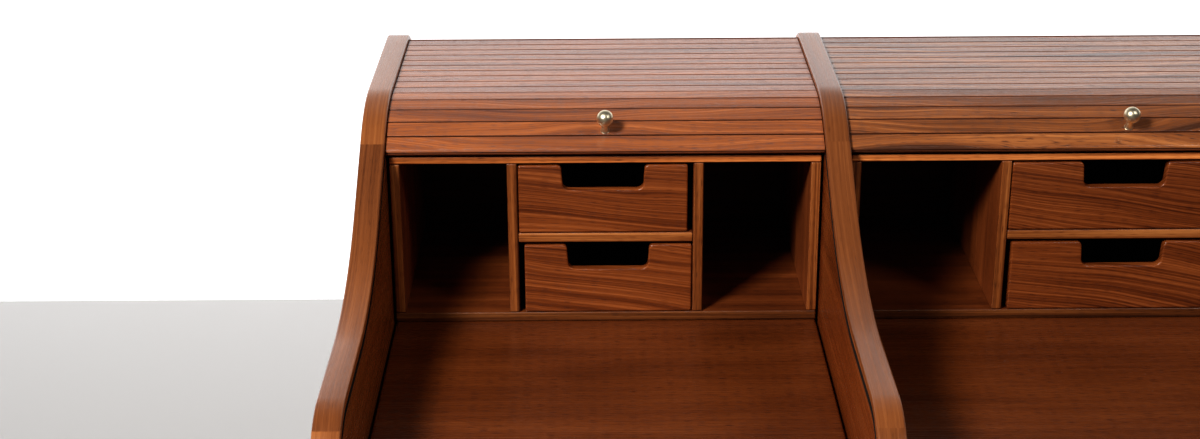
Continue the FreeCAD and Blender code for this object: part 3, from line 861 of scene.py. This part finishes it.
def curtains(materials):
    """Both curtains: a lead rail and the groups of slats behind it."""
    t, _ = settings()
    rng = np.random.default_rng(SEEDS["curtains"])
    for bay in BAYS:
        looks = [materials["slat_" + bay], materials["slat_painted_shade"]]
        rail = slat_mesh(bay, -t.lead_start - t.lead / 2, t.lead, True, some_grain(rng))
        make_piece(bay + "_lead_rail", joined(rail), looks, bay + "_curtain_lead")
        for name, numbers in curtain_groups().items():
            parts = [part for number in numbers for part in slat_mesh(
                bay, slat_place(number), t.pitch, False, some_grain(rng))]
            make_piece(f"{bay}_{name}", joined(parts), looks, f"{bay}_curtain_{name}")


def knobs(materials):
    """A turned knob on each curtain: a profile of foot, flared neck and ball spun
    round the slat's normal."""
    t, sizes = settings()
    ball, neck, foot = sizes.ball, sizes.neck, sizes.foot
    a = np.linspace(math.asin(neck / ball), math.pi, BALL_POINTS)
    sphere = stacked(ball * np.sin(a), sizes.ball_height - ball * np.cos(a))
    sphere[-1, 0] = 0.0
    s = np.linspace(0, 1, NECK_POINTS)
    flare = stacked(neck + (foot - neck) * (1 - s) ** 3, NECK_START + NECK_RISE * s)
    rim = [(0.0, 0.0)] + [(foot + out, up) for out, up in FOOT_RIM]
    radius, height = np.concatenate([rim, flare, sphere]).T
    middle, along, out = slat_pose(slat_place(1))
    root = middle + out * t.slat / 2 - along * t.pitch * KNOB_DROP
    turn = np.linspace(0, 2 * math.pi, KNOB_TURNS, endpoint=False)
    across = radius[1:-1, None] * np.cos(turn)
    up = radius[1:-1, None] * np.sin(turn)
    rows, columns = across.shape
    faces = list(grid_faces(rows, columns, closed_columns=True, flip=True))
    below, above, last = rows * columns, rows * columns + 1, (rows - 1) * columns
    for k in range(columns):
        n = (k + 1) % columns
        faces += [(n, k, below), (last + k, last + n, above)]
    for bay in BAYS:
        low, high = corners(bay + "_writing_surface")
        centre = (low[0] + high[0]) / 2
        ring = np.empty(across.shape + (3,))
        ring[..., 0] = centre + across
        ring[..., 1:] = root + up[..., None] * along + height[1:-1, None, None] * out
        poles = [(centre, *(root + h * out)) for h in height[[0, -1]]]
        points = np.concatenate([ring.reshape(-1, 3), poles])
        make_piece(bay + "_knob", (points, faces, points[:, :2], [0] * len(faces)),
                   [materials["brass"]], bay + "_curtain_pull_slat", "brass")


def boards(names, radius, grain_axis, looks, rng):
    """Rounded boards in the places of nodes that are plain boards.  Of three looks,
    the third goes on the front face and the second on the rounding beside it."""
    for name in names:
        shape = rounded_box(*corners(name), radius, grain_axis, some_grain(rng))
        if len(looks) > 1:
            shape = (*shape[:3], lambda normals: (normals[:, 1:2] < FORWARD).sum(axis=1))
        make_piece(name, shape, looks, "case")


def inserts(materials):
    """The two pigeonhole inserts, board by board."""
    _, sizes = settings()
    rng = np.random.default_rng(SEEDS["inserts"])
    for bay in BAYS:
        for names, axis, look, lipping in INSERT_BOARDS:
            boards([f"{bay}_insert_{name}" for name in names], sizes.board_round, axis,
                   [materials[kind] for kind in (look, "joint", lipping)],
                   rng)
        boards([bay + "_insert_back"], BACK_ROUND, 0, [materials["back"]],
               rng)


def front_outline(low, high):
    """A drawer front's outline in (Z, X), anticlockwise, with its finger cut-out."""
    _, s = settings()
    (left, _, foot), (right, _, top) = low, high
    middle, under = (left + right) / 2, top - s.cutout_depth
    mouth, floor = s.cutout_mouth / 2, s.cutout_floor / 2
    shape = [(foot, left), (foot, right), (top, right), (top, middle + mouth),
             (under, middle + floor), (under, middle - floor), (top, middle - mouth),
             (top, left)]
    radii = [FRONT_LOW, FRONT_LOW, FRONT_HIGH, s.mouth_round, s.cutout_round,
             s.cutout_round, s.mouth_round, FRONT_HIGH]
    return round_corners(shape, radii, steps=7)[::-1]


def drawers(materials):
    """Four drawers: a front with its cut-out and an open box behind it."""
    _, sizes = settings()
    rng = np.random.default_rng(SEEDS["drawers"])
    wall, floor = sizes.drawer_wall, sizes.drawer_floor
    for body in (f"{bay}_{level}_drawer" for bay in BAYS for level in ("upper", "lower")):
        low, high = corners(body + "_front")
        low, high = low + SHRINK, high - SHRINK
        points, faces, _, kinds = plate(front_outline(low, high), high[1] - low[1],
                                        sizes.front_round, low[1], 1)
        lean = rng.uniform(*FRONT_LEAN)
        upright = points[:, 2] + points[:, 1]
        grain = stacked(points[:, 0] - lean * upright, upright + lean * points[:, 0])
        make_piece(body + "_front", (points, faces, grain + some_grain(rng), kinds),
                   [materials["drawer_front"]] * 2, body)
        (x0, y0, z0), (x1, y1, z1) = corners(body + "_box")
        left, right, rear = x0 + wall, x1 - wall, y1 - wall
        spans = (((x0, y0, z0), (left, y1, z1), 1), ((right, y0, z0), (x1, y1, z1), 1),
                 ((left, rear, z0), (right, y1, z1), 0),
                 ((left, y0, z0), (right, rear, z0 + floor), 0))
        parts = [rounded_box(a, b, BOX_ROUND, axis, some_grain(rng)) for a, b, axis in spans]
        make_piece(body + "_box", joined(parts), [materials["drawer_box"]], body)


def writing_surfaces(materials):
    """The two writing surfaces, grain from side to side."""
    rng = np.random.default_rng(SEEDS["surfaces"])
    boards([bay + "_writing_surface" for bay in BAYS], SURFACE_ROUND, 0,
           [materials["surface"]], rng)


def dress(node, material):
    """Give a carried-over CAD node its material."""
    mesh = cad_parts[node].data
    mesh.materials.clear()
    mesh.materials.append(material)


def carcass(materials):
    """Aprons, and the solids that keep their shape: cleats, pocket, backs, glides."""
    rng = np.random.default_rng(SEEDS["carcass"])
    boards([bay + "_apron" for bay in BAYS], APRON_ROUND, 0, [materials["apron"]],
           rng)
    for bay in BAYS:
        dress(bay + "_cleats", materials["plain_deep"])
        for name in ("_pocket_floor", "_pocket_liner", "_back"):
            dress(bay + name, materials["plain_level"])
    dress("glides", materials["glide"])


# Stage
def plane(name, centre, across, up, material):
    """A rectangle about a centre, from its two half sides."""
    points = np.array([[-1, -1], [1, -1], [1, 1], [-1, 1]]) @ [across, up] + centre
    mesh = bpy.data.meshes.new(name)
    mesh.from_pydata(points.tolist(), [], [(0, 1, 2, 3)])
    mesh.materials.append(material)
    new_object(name, mesh)


def soft_light(name, direction, size, power, tint):
    """A square area light in a direction from the lit point, which isn't seen itself."""
    data = bpy.data.lights.new(name, "AREA")
    data.shape, data.size, data.energy, data.color = "SQUARE", size, power, tint
    lamp = new_object(name, data)
    lamp.matrix_world = Matrix.LocRotScale(
        LIT + LIGHT_AWAY * direction, Vector(direction).to_track_quat("Z", "Y"), None)
    lamp.visible_camera = False


def camera(stage):
    """The camera at eye height, leaned by roll, aimed by pitch and then by yaw."""
    data = bpy.data.cameras.new("camera")
    data.sensor_width, data.sensor_fit, data.lens = 36.0, "HORIZONTAL", stage.lens
    data.clip_start, data.clip_end = 0.05, 60.0
    eye = new_object("camera", data)
    eye.matrix_world = (Matrix.Translation(stage.eye) @ Matrix.Rotation(-stage.yaw, 4, "Z")
                        @ Matrix.Rotation(QUARTER - stage.pitch, 4, "X")
                        @ Matrix.Rotation(stage.roll, 4, "Z"))
    bpy.context.scene.camera = eye


def build_stage():
    """Floor, backdrop, lights, even light and camera."""
    scene = bpy.context.scene
    stage = scene.desk_stage
    floor, tree, shader = principled("pale_floor")
    feed(tree, shader, {"Base Color": (*stage.floor, 1.0), "Roughness": 0.6})
    plane("floor", (0, 0, 0), (FLOOR_HALF, 0, 0), (0, FLOOR_HALF, 0), floor)
    plane("backdrop", (0, stage.wall_y, WALL_RISE), (WALL_HALF, 0, 0), (0, 0, WALL_RISE),
          backdrop_material(stage.wall, stage.glow))
    soft_light("key", KEY_FROM, KEY_SIZE, stage.key, (1.0, 0.97, 0.93))
    soft_light("fill", FILL_FROM, FILL_SIZE, stage.fill, (1.0, 0.98, 0.96))
    scene.world = bpy.data.worlds.new("even_light")
    scene.world.use_nodes = True
    tree = scene.world.node_tree
    feed(tree, tree.nodes["Background"], {"Color": (0.95, 0.97, 1.0, 1.0),
                                          "Strength": stage.ambient})
    scene.view_settings.view_transform = "Standard"
    scene.view_settings.look = "Medium High Contrast"
    camera(stage)


# Operators and panel
class DeskOperator:
    """What the desk's operators share: run one maker with the finishes."""
    bl_options = {"REGISTER", "UNDO"}

    def execute(self, context):
        self.maker(finishes())
        return {"FINISHED"}


class DESK_OT_side_panels(DeskOperator, Operator):
    """Make the three S-shaped side panels"""
    bl_idname = "desk.side_panels"
    bl_label = "Side panels"
    maker = staticmethod(side_panels)


class DESK_OT_curtains(DeskOperator, Operator):
    """Make the lead rails and slats of both curtains"""
    bl_idname = "desk.curtains"
    bl_label = "Curtains"
    maker = staticmethod(curtains)


class DESK_OT_knobs(DeskOperator, Operator):
    """Make the brass knobs"""
    bl_idname = "desk.knobs"
    bl_label = "Knobs"
    maker = staticmethod(knobs)


class DESK_OT_writing_surfaces(DeskOperator, Operator):
    """Make the two writing surfaces"""
    bl_idname = "desk.writing_surfaces"
    bl_label = "Writing surfaces"
    maker = staticmethod(writing_surfaces)


class DESK_OT_inserts(DeskOperator, Operator):
    """Make the two pigeonhole inserts"""
    bl_idname = "desk.inserts"
    bl_label = "Pigeonhole inserts"
    maker = staticmethod(inserts)


class DESK_OT_drawers(DeskOperator, Operator):
    """Make the four small drawers"""
    bl_idname = "desk.drawers"
    bl_label = "Drawers"
    maker = staticmethod(drawers)


class DESK_OT_carcass(DeskOperator, Operator):
    """Make the aprons, and finish the cleats, pockets, backs and glides"""
    bl_idname = "desk.carcass"
    bl_label = "Carcass"
    maker = staticmethod(carcass)


class DESK_OT_stage(Operator):
    """Make the floor, backdrop, lights and camera"""
    bl_idname = "desk.stage"
    bl_label = "Stage"

    def execute(self, context):
        build_stage()
        return {"FINISHED"}


OPERATORS = (DESK_OT_stage, DESK_OT_side_panels, DESK_OT_curtains, DESK_OT_knobs,
             DESK_OT_writing_surfaces, DESK_OT_inserts, DESK_OT_drawers, DESK_OT_carcass)
GROUPS = {"desk_track": DeskTrack, "desk_sizes": DeskSizes, "desk_finish": DeskFinish,
          "desk_stage": DeskStage}


class DESK_PT_sidebar(Panel):
    """The desk's makers and settings"""
    bl_idname = "DESK_PT_sidebar"
    bl_label = "Tambour desk"
    bl_space_type = "VIEW_3D"
    bl_region_type = "UI"
    bl_category = "Desk"

    def draw(self, context):
        for operator in OPERATORS:
            self.layout.operator(operator.bl_idname)
        for name, group in GROUPS.items():
            box = self.layout.box()
            box.label(text=group.__doc__)
            for setting in group.__annotations__:
                box.prop(getattr(context.scene, name), setting)


def register():
    for name, group in GROUPS.items():
        bpy.utils.register_class(group)
        setattr(bpy.types.Scene, name, PointerProperty(type=group))
    for item in OPERATORS + (DESK_PT_sidebar,):
        bpy.utils.register_class(item)


def unregister():
    for item in reversed(OPERATORS + (DESK_PT_sidebar,)):
        bpy.utils.unregister_class(item)
    for name, group in reversed(GROUPS.items()):
        delattr(bpy.types.Scene, name)
        bpy.utils.unregister_class(group)


def main():
    register()
    for operator in OPERATORS:
        area, name = operator.bl_idname.split(".")
        if getattr(getattr(bpy.ops, area), name)() != {"FINISHED"}:
            raise RuntimeError(operator.bl_label + " wasn't made")


if __name__ == "__main__":
    main()
